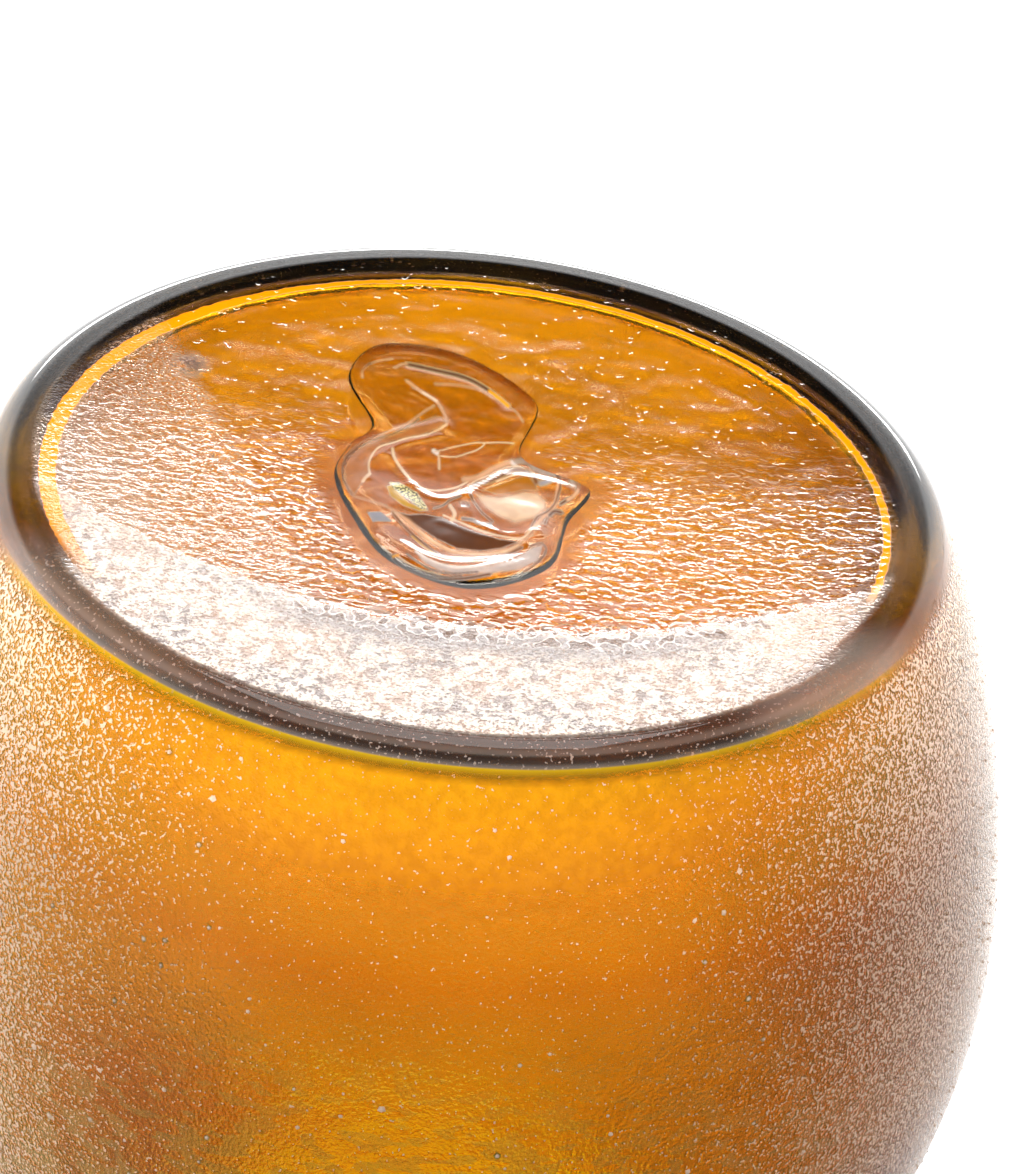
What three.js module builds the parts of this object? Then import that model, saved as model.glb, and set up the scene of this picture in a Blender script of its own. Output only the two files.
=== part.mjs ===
// Blown glass vase, mouth up, resting on its foot ring at z = 0. Units are millimetres, +Z is up.
// An amber bubble lines a thick clear casing, a thin coat of crushed glass covers the outside of the body,
// and the broken-off seal of the punty rod sits in the shallow hollow of the base.
import * as THREE from "three";

// Outline of the outside, from the foot up. Each rise is the height of its own stretch.
const footRadius = 52;
const footLandWidth = 2.4;
const heelSpread = 2.6;
const heelRise = 1.2;
const heelLean = THREE.MathUtils.degToRad(44.5);
const heelHandle = 5;
const bellyRadius = 71.6;
const bellyRise = 60;
const underBellyHandle = 25.5;
const overBellyHandle = 46;
const shoulderRise = 80;
const throatRadius = 39.5;
const throatHandle = 15;
const lipRise = 13;
const lipRadius = 43.5;
const lipThroatHandle = 5;
const lipLeanHandle = 5;
const lipLean = THREE.MathUtils.degToRad(32);

// Hollow under the base, and the glass between it and the amber floor.
const hollowDepth = 2.6;
const baseThickness = 5;
const floorRise = 2;

// Walls of the three coats, measured square to the surface.
const fritThickness = 0.6;
const casingHeelWall = 7.4;
const casingBodyWall = 3.6;
const casingLipWall = 1.8;
const amberWall = 1.5;
const amberLipWall = 1.1;
const amberFloor = 2.2;
const casingFloorCorner = 2.5;
const amberFloorCorner = 7;
const heelFadeStart = 4;
const heelFadeEnd = 34;
const lipFadeLength = 26;

// How far the frosted coat stays above the heel and below the lip.
const fritHeelMargin = 1;
const fritLipMargin = 6;

// The rounded lip, and how far the amber edge stays below the clear one.
const rimRound = 1.3;
const amberRimRound = 0.6;
const amberSetback = 0.5;

// Gap that each coat keeps to the next.
const fit = 0.3;

// The broken-off seal of the punty rod.
const scarPlate = 0.55;
const scarEdge = 0.25;
const scarEdgeWidth = 2.5;
const scarTableClearance = 0.4;

// Faces round the axis and steps along each stretch of a profile.
const turns = 48;
const lowerSteps = 7;
const shoulderSteps = 8;
const lipSteps = 3;
const heelSteps = 3;
const hollowSteps = 4;
const floorSteps = 3;
const cornerSteps = 4;
const rimSteps = 4;
const fineSteps = 120;
const scarSides = 52;
const scarRings = 13;
const scarRidgeSteps = 24;

// The outline as a chain of curves of radius (x) and height (y).
const heelTop = new THREE.Vector2(footRadius + heelSpread, heelRise);
const belly = new THREE.Vector2(bellyRadius, heelRise + bellyRise);
const throat = new THREE.Vector2(throatRadius, belly.y + shoulderRise);
const lip = new THREE.Vector2(lipRadius, throat.y + lipRise);
const vaseHeight = lip.y;
const raised = (point, distance) => new THREE.Vector2(point.x, point.y + distance);
const leaned = (point, distance, lean) =>
  new THREE.Vector2(point.x + distance * Math.sin(lean), point.y + distance * Math.cos(lean));
const heelCurve = new THREE.QuadraticBezierCurve(
  new THREE.Vector2(footRadius, 0),
  leaned(heelTop, -heelRise / Math.cos(heelLean), heelLean),
  heelTop,
);
const lowerCurve = new THREE.CubicBezierCurve(
  heelTop,
  leaned(heelTop, heelHandle, heelLean),
  raised(belly, -underBellyHandle),
  belly,
);
const shoulderCurve = new THREE.CubicBezierCurve(
  belly,
  raised(belly, overBellyHandle),
  raised(throat, -throatHandle),
  throat,
);
const lipCurve = new THREE.CubicBezierCurve(
  throat,
  raised(throat, lipThroatHandle),
  leaned(lip, -lipLeanHandle, lipLean),
  lip,
);
const outlineCurves = [heelCurve, lowerCurve, shoulderCurve, lipCurve];
const fineOutline = outlineCurves.flatMap((curve) => curve.getPoints(fineSteps));
const levels = [
  ...lowerCurve.getPoints(lowerSteps),
  ...shoulderCurve.getPoints(shoulderSteps).slice(1),
  ...lipCurve.getPoints(lipSteps).slice(1),
].map((point) => point.y);

// Radius of the outline at a height, and the horizontal length of one unit of wall there.
function outlineAt(z) {
  const last = fineOutline.length - 1;
  let i = 1;
  while (i < last && fineOutline[i].y < z) {
    i += 1;
  }
  const low = fineOutline[i - 1];
  const high = fineOutline[i];
  const rise = high.y - low.y || 1e-6;
  const share = THREE.MathUtils.clamp((z - low.y) / rise, 0, 1);
  return {
    radius: THREE.MathUtils.lerp(low.x, high.x, share),
    stretch: Math.hypot(high.x - low.x, rise) / rise,
  };
}

// A point that lies a depth of glass inside the outline, at the same height.
function inside(z, depth) {
  const { radius, stretch } = outlineAt(z);
  return new THREE.Vector2(radius - depth * stretch, z);
}

const fade = (z, from, to) => THREE.MathUtils.smoothstep(z, from, to);
const lipShare = (z) => fade(z, vaseHeight - lipFadeLength, vaseHeight);
const casingWallAt = (z) =>
  THREE.MathUtils.lerp(
    THREE.MathUtils.lerp(casingHeelWall, casingBodyWall, fade(z, heelFadeStart, heelFadeEnd)),
    casingLipWall,
    lipShare(z),
  );
const casingInnerDepth = (z) => fritThickness + fit + casingWallAt(z);
const amberOuterDepth = (z) => casingInnerDepth(z) + fit;
const amberInnerDepth = (z) =>
  amberOuterDepth(z) + THREE.MathUtils.lerp(amberWall, amberLipWall, lipShare(z));

// A cavity's side from the rim's start down: the wall, a rounded corner and a slightly domed floor.
function cavitySide(top, depthAt, floor, corner) {
  const wall = levels.filter((z) => z > floor + corner && z < top).map((z) => inside(z, depthAt(z)));
  const start = inside(floor + corner, depthAt(floor + corner));
  const foot = new THREE.Vector2(inside(floor, depthAt(floor)).x, floor);
  const inner = new THREE.Vector2(foot.x - corner, floor);
  const bend = new THREE.QuadraticBezierCurve(start, foot, inner).getPoints(cornerSteps);
  const floorPoints = Array.from({ length: floorSteps }, (_, i) => {
    const share = 1 - (i + 1) / floorSteps;
    return new THREE.Vector2(inner.x * share, floor + floorRise * (1 - share ** 2));
  });
  return [inside(top, depthAt(top)), ...wall.reverse(), ...bend, ...floorPoints];
}

// Points over a rounded lip, between an outer and an inner point at one height.
function rimPoints(outer, inner, round) {
  const middle = (outer.x + inner.x) / 2;
  const half = (outer.x - inner.x) / 2;
  return Array.from({ length: rimSteps - 1 }, (_, i) => {
    const angle = (Math.PI * (i + 1)) / rimSteps;
    return new THREE.Vector2(middle + half * Math.cos(angle), outer.y + round * Math.sin(angle));
  });
}

function turned(name, profile, material) {
  const geometry = new THREE.LatheGeometry(profile, turns);
  geometry.rotateX(Math.PI / 2);
  const mesh = new THREE.Mesh(geometry, material);
  mesh.name = name;
  return mesh;
}

// Height of the frosted coat's two ends.
const fritFoot = heelRise + fritHeelMargin;
const fritTop = vaseHeight - fritLipMargin;

// Underside of the base: highest on the axis, flat where it meets the table.
const hollowRadius = footRadius - footLandWidth;
const hollowAt = (radius) => hollowDepth * (1 - (radius / hollowRadius) ** 2);

function makeCasing(material) {
  const hollow = Array.from({ length: hollowSteps + 1 }, (_, i) => {
    const radius = (hollowRadius * i) / hollowSteps;
    return new THREE.Vector2(radius, hollowAt(radius));
  });
  const heel = heelCurve.getPoints(heelSteps);
  const seatLow = fritFoot - fit;
  const seatHigh = fritTop + fit;
  const seatDepth = fritThickness + fit;
  const rimStart = vaseHeight - rimRound;
  const outer = [
    inside(seatLow, 0),
    inside(seatLow, seatDepth),
    ...levels.filter((z) => z > seatLow && z < seatHigh).map((z) => inside(z, seatDepth)),
    inside(seatHigh, seatDepth),
    inside(seatHigh, 0),
    inside(rimStart, 0),
  ];
  const cavity = cavitySide(rimStart, casingInnerDepth, baseThickness, casingFloorCorner);
  const rim = rimPoints(outer.at(-1), cavity[0], rimRound);
  return turned("clear_casing", [...hollow, ...heel, ...outer, ...rim, ...cavity], material);
}

function makeAmberBubble(material) {
  const rimStart = vaseHeight - amberSetback - amberRimRound;
  const outer = cavitySide(rimStart, amberOuterDepth, baseThickness + fit, casingFloorCorner);
  const inner = cavitySide(rimStart, amberInnerDepth, baseThickness + fit + amberFloor, amberFloorCorner);
  const rim = rimPoints(outer[0], inner[0], amberRimRound);
  return turned("amber_bubble", [...outer.reverse(), ...rim, ...inner], material);
}

function makeFritCoat(material) {
  const heights = [fritFoot, ...levels.filter((z) => z > fritFoot && z < fritTop), fritTop];
  const outer = heights.map((z) => inside(z, 0));
  const inner = heights.map((z) => inside(z, fritThickness)).reverse();
  return turned("frit_coat", [...outer, ...inner, outer[0].clone()], material);
}

// Plan of the scar: the round seal, with a tail of dragged glass towards +Y.
const scarCentre = new THREE.Vector3(1, -1, 0);
const scarPlan = [
  [15.8, -3],
  [14.6, 4],
  [11.8, 9],
  [14.4, 19],
  [11, 25],
  [3, 23.6],
  [-4.6, 15],
  [-5.4, 5.6],
  [-13.4, 0],
  [-11.2, -8],
  [-9.2, -18],
  [-1, -23.8],
  [8, -20],
  [13.2, -11],
];

// Ridges (height above the plate) and grooves (negative) of the torn glass, with their half widths.
const scarRidges = [
  { height: 0.7, width: 1.1, path: [[4.7, 10.9], [11.2, 6], [15.2, -2.8], [13.5, -7.8]] },
  { height: 0.45, width: 0.8, path: [[4.5, 8.2], [9.1, 4.8], [12, 0.5], [12, -3.2]] },
  { height: 0.6, width: 0.9, path: [[9.9, 2.4], [6.4, -4.2], [2.4, -5.6], [-3.2, 1]] },
  { height: 0.45, width: 1, path: [[8.1, 17.4], [5.3, 14.6], [3.5, 9.6]] },
  { height: -0.3, width: 0.9, path: [[9.8, 23], [2, 21.3], [-5.2, 12]] },
  { height: -0.45, width: 1.8, path: [[7.8, -11.1], [2.2, -16.2], [-5.8, -14.6]] },
  { height: 0.35, width: 0.8, path: [[7.6, -19.8], [0.8, -22.9], [-8.5, -15.1]] },
  { height: 0.75, width: 1.2, path: [[0.1, -4.4], [-4.8, 0.9], [-11.9, -1.1], [-8, -10.7]] },
  { height: 0.5, width: 1, path: [[0.1, -4.4], [-0.5, -9.5], [-4, -12], [-8, -10.7]] },
].map(({ height, width, path }) => {
  const points = path.map(([x, y]) => new THREE.Vector3(x, y, 0));
  return { height, width, points: new THREE.CatmullRomCurve3(points).getPoints(scarRidgeSteps) };
});

// How thick the scar is at a place whose share of the way from the centre to the edge is given.
function scarThickness(place, share, reach) {
  const relief = scarRidges.reduce((sum, { height, width, points }) => {
    const distance = Math.min(...points.map((point) => point.distanceTo(place)));
    return sum + height * Math.exp(-((distance / width) ** 2));
  }, scarPlate);
  const toEdge = THREE.MathUtils.smoothstep(reach * (1 - share), 0, scarEdgeWidth);
  const room = hollowAt(Math.hypot(place.x, place.y)) - fit - scarTableClearance;
  const wanted = THREE.MathUtils.lerp(scarEdge, relief, toEdge);
  return THREE.MathUtils.clamp(wanted, scarEdge, Math.max(room, scarEdge));
}

function makePuntyScar(material) {
  const planCurve = new THREE.CatmullRomCurve3(scarPlan.map(([x, y]) => new THREE.Vector3(x, y, 0)), true);
  const rim = planCurve.getSpacedPoints(scarSides).slice(0, scarSides);
  const roof = [];
  const face = [];
  const addPair = (place, share, reach) => {
    const top = hollowAt(Math.hypot(place.x, place.y)) - fit;
    roof.push(place.x, place.y, top);
    face.push(place.x, place.y, top - scarThickness(place, share, reach));
  };
  addPair(scarCentre, 0, scarEdgeWidth);
  for (let ring = 1; ring <= scarRings; ring += 1) {
    const share = ring / scarRings;
    for (const edge of rim) {
      addPair(scarCentre.clone().lerp(edge, share), share, scarCentre.distanceTo(edge));
    }
  }
  const perSide = 1 + scarRings * scarSides;
  const at = (ring, side) => (ring === 0 ? 0 : 1 + (ring - 1) * scarSides + (side % scarSides));
  const faces = [];
  const addBoth = (a, b, c) => faces.push(a, b, c, perSide + a, perSide + c, perSide + b);
  for (let side = 0; side < scarSides; side += 1) {
    addBoth(0, at(1, side), at(1, side + 1));
    for (let ring = 1; ring < scarRings; ring += 1) {
      addBoth(at(ring, side), at(ring + 1, side), at(ring + 1, side + 1));
      addBoth(at(ring, side), at(ring + 1, side + 1), at(ring, side + 1));
    }
    const here = at(scarRings, side);
    const next = at(scarRings, side + 1);
    faces.push(here, perSide + here, perSide + next, here, perSide + next, next);
  }
  const geometry = new THREE.BufferGeometry();
  geometry.setAttribute("position", new THREE.Float32BufferAttribute([...roof, ...face], 3));
  geometry.setIndex(faces);
  geometry.computeVertexNormals();
  const mesh = new THREE.Mesh(geometry, material);
  mesh.name = "punty_scar";
  return mesh;
}

const glass = (color, roughness, opacity) =>
  new THREE.MeshStandardMaterial({ color, roughness, opacity, metalness: 0, transparent: opacity < 1 });

const group = new THREE.Group();
group.add(makeAmberBubble(glass(0xe8960c, 0.12, 0.85)));
group.add(makeCasing(glass(0xd9d2cc, 0.08, 0.35)));
group.add(makeFritCoat(glass(0xe6c9a8, 0.55, 0.5)));
group.add(makePuntyScar(glass(0xe9cbb0, 0.05, 0.4)));

export default group;
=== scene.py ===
"""Blown glass vase: amber inside, thick clear casing, frosted coat, torn punty scar under the base."""
import math
import random

import bpy
import numpy as np
from mathutils import Matrix, Vector, noise


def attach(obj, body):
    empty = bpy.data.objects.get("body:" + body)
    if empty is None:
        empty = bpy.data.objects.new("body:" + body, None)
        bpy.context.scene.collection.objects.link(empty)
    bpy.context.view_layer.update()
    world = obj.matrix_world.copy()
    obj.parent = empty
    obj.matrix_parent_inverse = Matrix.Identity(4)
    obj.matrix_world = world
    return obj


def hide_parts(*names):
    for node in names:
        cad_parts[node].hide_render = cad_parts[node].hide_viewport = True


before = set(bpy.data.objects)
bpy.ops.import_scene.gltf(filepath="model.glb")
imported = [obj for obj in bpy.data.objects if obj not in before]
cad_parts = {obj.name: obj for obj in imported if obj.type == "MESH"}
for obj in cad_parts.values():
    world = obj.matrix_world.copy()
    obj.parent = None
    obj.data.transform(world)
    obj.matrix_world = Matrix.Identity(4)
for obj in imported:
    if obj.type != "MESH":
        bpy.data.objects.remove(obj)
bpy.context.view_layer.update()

MM = 0.001

# Outline of the outside, in millimetres, as in the solids.
FOOT_RADIUS = 52.0
FOOT_LAND = 2.4
HEEL_SPREAD = 2.6
HEEL_RISE = 1.2
HEEL_LEAN = math.radians(44.5)
HEEL_HANDLE = 5.0
BELLY_RADIUS = 71.6
BELLY_RISE = 60.0
UNDER_BELLY_HANDLE = 25.5
OVER_BELLY_HANDLE = 46.0
SHOULDER_RISE = 80.0
THROAT_RADIUS = 39.5
THROAT_HANDLE = 15.0
LIP_RISE = 13.0
LIP_RADIUS = 43.5
LIP_THROAT_HANDLE = 5.0
LIP_LEAN_HANDLE = 5.0
LIP_LEAN = math.radians(32)
HOLLOW_DEPTH = 2.6
BASE_THICKNESS = 5.0
FLOOR_RISE = 2.0
FRIT = 0.6
CASING_HEEL_WALL = 7.4
CASING_BODY_WALL = 3.6
CASING_LIP_WALL = 1.8
AMBER_WALL = 1.5
AMBER_LIP_WALL = 1.1
AMBER_FLOOR = 2.2
CASING_CORNER = 1.2
AMBER_CORNER = 3.0
HEEL_FADE = (4.0, 34.0)
LIP_FADE_LENGTH = 26.0
FIT = 0.3
RIM_ROUND = 1.3
AMBER_RIM_ROUND = 0.6
AMBER_SETBACK = 0.5

BELLY_Z = HEEL_RISE + BELLY_RISE
THROAT_Z = BELLY_Z + SHOULDER_RISE
HEIGHT = THROAT_Z + LIP_RISE
HOLLOW_RADIUS = FOOT_RADIUS - FOOT_LAND

# How deep the casing's inner face lies in the amber coat, so that the two read as one fused wall.
FUSED = 0.7
# How far out the amber's foot is moved, and the heights between which the move fades out.
FOOT_OUT = 3.0
FOOT_OUT_FADE = (8.0, 26.0)
# How far the skin between the grains lies inside the outline, which the tips of the grains nearly reach.
SKIN_DEPTH = 0.16

OUTLINE_STEPS = 240
RIM_STEPS = 8
CASING_TURNS = 360
AMBER_TURNS = 256
# A point of a profile closer to the axis than this is a pole.
ON_AXIS = 1e-6

# The photograph's size in pixels, and the camera that was fitted to it: its focal length and the centre of
# the base in those pixels, its angles, and its distance from the base in metres.
PHOTO_WIDTH = 1024
PHOTO_HEIGHT = 1174
PHOTO_FOCAL = 2486.05
BASE_CENTRE_PIXEL = (475.2, 457.9)
CAMERA_ELEVATION = math.radians(31.19)
CAMERA_ROLL = math.radians(6.41)
CAMERA_DISTANCE = 0.286
SENSOR_WIDTH = 36

# Rim of the amber coat as the base's glass shows it: centre and radius of its circle, on which a glowing
# orange line is painted, with painted shade outside it.
AMBER_RIM_CENTRE = (0.14, -3.49, 0)
AMBER_RIM_RADIUS = 47.76
BLOT_PLACE = (35.4, 15.6, 0)

FLOOR_REACH = 2000
OPEN_FLOOR_RADIUS = 110.0


def smooth(x, low, high):
    t = min(max((x - low) / (high - low), 0.0), 1.0)
    return t * t * (3 - 2 * t)


def mix(a, b, t):
    return a + (b - a) * t


def bezier(points, steps):
    """Points along a Bezier curve of any degree, ends included."""
    out = []
    for i in range(steps + 1):
        t = i / steps
        level = [Vector(p) for p in points]
        while len(level) > 1:
            level = [a.lerp(b, t) for a, b in zip(level, level[1:])]
        out.append(level[0])
    return out


def leaned(point, distance, lean):
    return (point[0] + distance * math.sin(lean), point[1] + distance * math.cos(lean))


HEEL_TOP = (FOOT_RADIUS + HEEL_SPREAD, HEEL_RISE)
HEEL = [(FOOT_RADIUS, 0.0), leaned(HEEL_TOP, -HEEL_RISE / math.cos(HEEL_LEAN), HEEL_LEAN), HEEL_TOP]
LOWER = [
    HEEL_TOP,
    leaned(HEEL_TOP, HEEL_HANDLE, HEEL_LEAN),
    (BELLY_RADIUS, BELLY_Z - UNDER_BELLY_HANDLE),
    (BELLY_RADIUS, BELLY_Z),
]
SHOULDER = [
    (BELLY_RADIUS, BELLY_Z),
    (BELLY_RADIUS, BELLY_Z + OVER_BELLY_HANDLE),
    (THROAT_RADIUS, THROAT_Z - THROAT_HANDLE),
    (THROAT_RADIUS, THROAT_Z),
]
LIP = [
    (THROAT_RADIUS, THROAT_Z),
    (THROAT_RADIUS, THROAT_Z + LIP_THROAT_HANDLE),
    leaned((LIP_RADIUS, HEIGHT), -LIP_LEAN_HANDLE, LIP_LEAN),
    (LIP_RADIUS, HEIGHT),
]
FINE = np.array([p for part in (HEEL, LOWER, SHOULDER, LIP) for p in bezier(part, OUTLINE_STEPS)])


def outline_at(z):
    """Radius of the outline at a height, and the horizontal length of one unit of wall there."""
    radius = float(np.interp(z, FINE[:, 1], FINE[:, 0]))
    low, high = np.interp([z - 0.05, z + 0.05], FINE[:, 1], FINE[:, 0])
    return radius, math.hypot(high - low, 0.1) / 0.1


def inside(z, depth):
    radius, stretch = outline_at(z)
    return (radius - depth * stretch, z)


def lip_share(z):
    return smooth(z, HEIGHT - LIP_FADE_LENGTH, HEIGHT)


def casing_inner_depth(z):
    wall = mix(CASING_HEEL_WALL, CASING_BODY_WALL, smooth(z, *HEEL_FADE))
    return FRIT + FIT + mix(wall, CASING_LIP_WALL, lip_share(z))


def amber_outer_depth(z):
    return casing_inner_depth(z) + FIT


def amber_inner_depth(z):
    return amber_outer_depth(z) + mix(AMBER_WALL, AMBER_LIP_WALL, lip_share(z))


def shown_out(z):
    """How far out the amber's foot is moved, so that the base's glass shows it up to its bright rim."""
    return FOOT_OUT * (1 - smooth(z, *FOOT_OUT_FADE))


def amber_outer_shown(z):
    return amber_outer_depth(z) - shown_out(z)


def amber_inner_shown(z):
    return amber_inner_depth(z) - shown_out(z)


def fused_depth(z):
    return amber_outer_shown(z) + FUSED


def hollow_at(radius):
    return HOLLOW_DEPTH * (1 - (radius / HOLLOW_RADIUS) ** 2)


def spread(points, step):
    """The same line with points a step apart."""
    points = np.array([tuple(p) for p in points])
    away = np.concatenate([[0], np.cumsum(np.hypot(*np.diff(points, axis=0).T))])
    count = max(int(round(away[-1] / step)), 1)
    at = np.linspace(0, away[-1], count + 1)
    return list(zip(np.interp(at, away, points[:, 0]), np.interp(at, away, points[:, 1])))


def cavity_side(top, depth_at, floor, corner, step, floor_step):
    """A cavity's side from the rim's start down: the wall, a rounded corner and a slightly domed floor."""
    heights = np.linspace(top, floor + corner, 200)
    wall = [inside(z, depth_at(z)) for z in heights]
    foot = (inside(floor, depth_at(floor))[0], floor)
    inner = (foot[0] - corner, floor)
    bend = bezier([wall[-1], foot, inner], 16)
    shares = np.linspace(1, 0, 60)
    bottom = [(inner[0] * s, floor + FLOOR_RISE * (1 - s**2)) for s in shares]
    return spread(wall, step)[:-1] + spread(bend, step / 2)[:-1] + spread(bottom, floor_step)


def rim_points(outer, inner, height):
    """Points over a rounded lip, between an outer and an inner point at one height."""
    middle, half = (outer[0] + inner[0]) / 2, (outer[0] - inner[0]) / 2
    angles = [math.pi * (i + 1) / RIM_STEPS for i in range(RIM_STEPS - 1)]
    return [(middle + half * math.cos(a), outer[1] + height * math.sin(a)) for a in angles]


def turned(name, profile, turns, move=None):
    """A body of revolution; points on the axis become poles. move shifts each point of the surface."""
    profile = list(profile)
    start = profile[0][0] < ON_AXIS
    end = profile[-1][0] < ON_AXIS
    rings = profile[(1 if start else 0) : (len(profile) - (1 if end else 0))]
    angles = np.arange(turns) * 2 * math.pi / turns
    radius = np.array([p[0] for p in rings])[:, None]
    height = np.array([p[1] for p in rings])[:, None]
    grid = np.stack(
        [radius * np.cos(angles), radius * np.sin(angles), height + 0 * angles], axis=-1
    ).reshape(-1, 3)
    points = [grid]
    faces = []
    count = len(rings)
    around = np.arange(turns)
    after = (around + 1) % turns
    for first in range(0, (count - 1) * turns, turns):
        second = first + turns
        quads = [first + around, first + after, second + after, second + around]
        faces += np.stack(quads, axis=-1).tolist()
    total = count * turns
    if start:
        points.append(np.array([[0, 0, profile[0][1]]]))
        faces += [(total, int(b), int(a)) for a, b in zip(around, after)]
        total += 1
    if end:
        points.append(np.array([[0, 0, profile[-1][1]]]))
        base = (count - 1) * turns
        faces += [(total, int(base + a), int(base + b)) for a, b in zip(around, after)]
    points = np.concatenate(points)
    if move is not None:
        points = move(points)
    return piece(name, points, faces)


def paint(made, **values):
    """Stores one value per point of the mesh under each name."""
    for name, value in values.items():
        layer = made.data.attributes.new(name, "FLOAT", "POINT")
        layer.data.foreach_set("value", np.asarray(value, np.float32))


def ramp(x, low, high):
    t = np.clip((x - low) / (high - low), 0.0, 1.0)
    return t * t * (3 - 2 * t)


def wavy(x, y, scale, seed):
    return np.array([noise.noise(Vector((a * scale, b * scale, seed))) for a, b in zip(x, y)])


def piece(name, points, faces, smooth_faces=True):
    mesh = bpy.data.meshes.new(name)
    mesh.from_pydata((np.asarray(points) * MM).tolist(), [], faces)
    mesh.validate()
    mesh.polygons.foreach_set("use_smooth", [smooth_faces] * len(mesh.polygons))
    mesh.update()
    made = bpy.data.objects.new(name, mesh)
    bpy.context.scene.collection.objects.link(made)
    return made


def scene_camera():
    """The photograph's view: from below the base, rolled over, with the base's centre at a known pixel."""
    across = BASE_CENTRE_PIXEL[0] - PHOTO_WIDTH / 2
    down = BASE_CENTRE_PIXEL[1] - PHOTO_HEIGHT / 2
    aim = Vector((across / PHOTO_FOCAL, -down / PHOTO_FOCAL, -1)).normalized()
    forward = Vector((0, math.cos(CAMERA_ELEVATION), math.sin(CAMERA_ELEVATION)))
    right = Vector((-1, 0, 0))
    up = Vector((0, math.sin(CAMERA_ELEVATION), -math.cos(CAMERA_ELEVATION)))
    rolled_right = right * math.cos(CAMERA_ROLL) + up * math.sin(CAMERA_ROLL)
    rolled_up = up * math.cos(CAMERA_ROLL) - right * math.sin(CAMERA_ROLL)
    turn = Vector((0, 0, -1)).rotation_difference(aim).to_matrix()
    to_camera = turn @ Matrix((rolled_right, rolled_up, -forward))
    data = bpy.data.cameras.new("camera")
    data.sensor_width = SENSOR_WIDTH
    data.lens = PHOTO_FOCAL * SENSOR_WIDTH / PHOTO_HEIGHT
    data.clip_start = 0.01
    camera = bpy.data.objects.new("camera", data)
    camera.matrix_world = Matrix.Translation(-forward * CAMERA_DISTANCE) @ to_camera.transposed().to_4x4()
    bpy.context.scene.collection.objects.link(camera)
    bpy.context.scene.camera = camera


class Tree:
    """A node tree with short ways to add and join nodes."""

    def __init__(self, owner):
        owner.use_nodes = True
        self.tree = owner.node_tree
        self.tree.nodes.clear()

    def add(self, kind, values=None, **settings):
        made = self.tree.nodes.new(kind)
        for key, value in settings.items():
            setattr(made, key, value)
        for key, value in (values or {}).items():
            self.feed(made.inputs[key], value)
        return made

    def feed(self, socket, value):
        if isinstance(value, bpy.types.NodeSocket):
            self.tree.links.new(value, socket)
        elif isinstance(value, bpy.types.Node):
            self.tree.links.new(value.outputs[0], socket)
        else:
            socket.default_value = value

    def math(self, operation, a, b=0.0, c=None):
        values = {0: a, 1: b} if c is None else {0: a, 1: b, 2: c}
        return self.add("ShaderNodeMath", values, operation=operation).outputs[0]

    def times(self, a, b):
        return self.math("MULTIPLY", a, b)

    def most(self, a, b):
        return self.math("MAXIMUM", a, b)

    def vector(self, operation, a, b=(0, 0, 0)):
        made = self.add("ShaderNodeVectorMath", {0: a, 1: b}, operation=operation)
        return made.outputs["Value" if operation == "LENGTH" else "Vector"]

    def between(self, value, low, high, out_low=0.0, out_high=1.0):
        made = self.add(
            "ShaderNodeMapRange",
            {"Value": value, "From Min": low, "From Max": high, "To Min": out_low, "To Max": out_high},
            interpolation_type="SMOOTHSTEP",
        )
        return made.outputs["Result"]

    def mixed(self, share, a, b):
        made = self.add("ShaderNodeMix", data_type="RGBA")
        self.feed(made.inputs[0], share)
        self.feed(made.inputs[6], a)
        self.feed(made.inputs[7], b)
        return made.outputs[2]

    def noise(self, where, scale, detail=2.0, roughness=0.5):
        values = {"Vector": where, "Scale": scale, "Detail": detail, "Roughness": roughness}
        return self.add("ShaderNodeTexNoise", values).outputs[0]

    def bump(self, height, distance):
        values = {"Height": height, "Distance": distance, "Strength": 1.0}
        return self.add("ShaderNodeBump", values).outputs[0]

    def place(self):
        """Place on the object in millimetres, its three parts and its distance from the axis."""
        where = self.vector("MULTIPLY", self.add("ShaderNodeTexCoord").outputs["Object"], (1000, 1000, 1000))
        parts = self.add("ShaderNodeSeparateXYZ", {0: where})
        flat = self.vector("MULTIPLY", where, (1, 1, 0))
        return where, parts.outputs[0], parts.outputs[1], parts.outputs[2], self.vector("LENGTH", flat)

    def painted(self, name):
        """A value painted on the mesh's points."""
        return self.add("ShaderNodeAttribute", attribute_name=name).outputs["Fac"]

    def surface(self, shader, volume=None):
        out = self.add("ShaderNodeOutputMaterial", {"Surface": shader})
        if volume is not None:
            self.feed(out.inputs["Volume"], volume)


def principled(tree, **values):
    named = {key.replace("_", " "): value for key, value in values.items()}
    return tree.add("ShaderNodeBsdfPrincipled", named).outputs[0]


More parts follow.
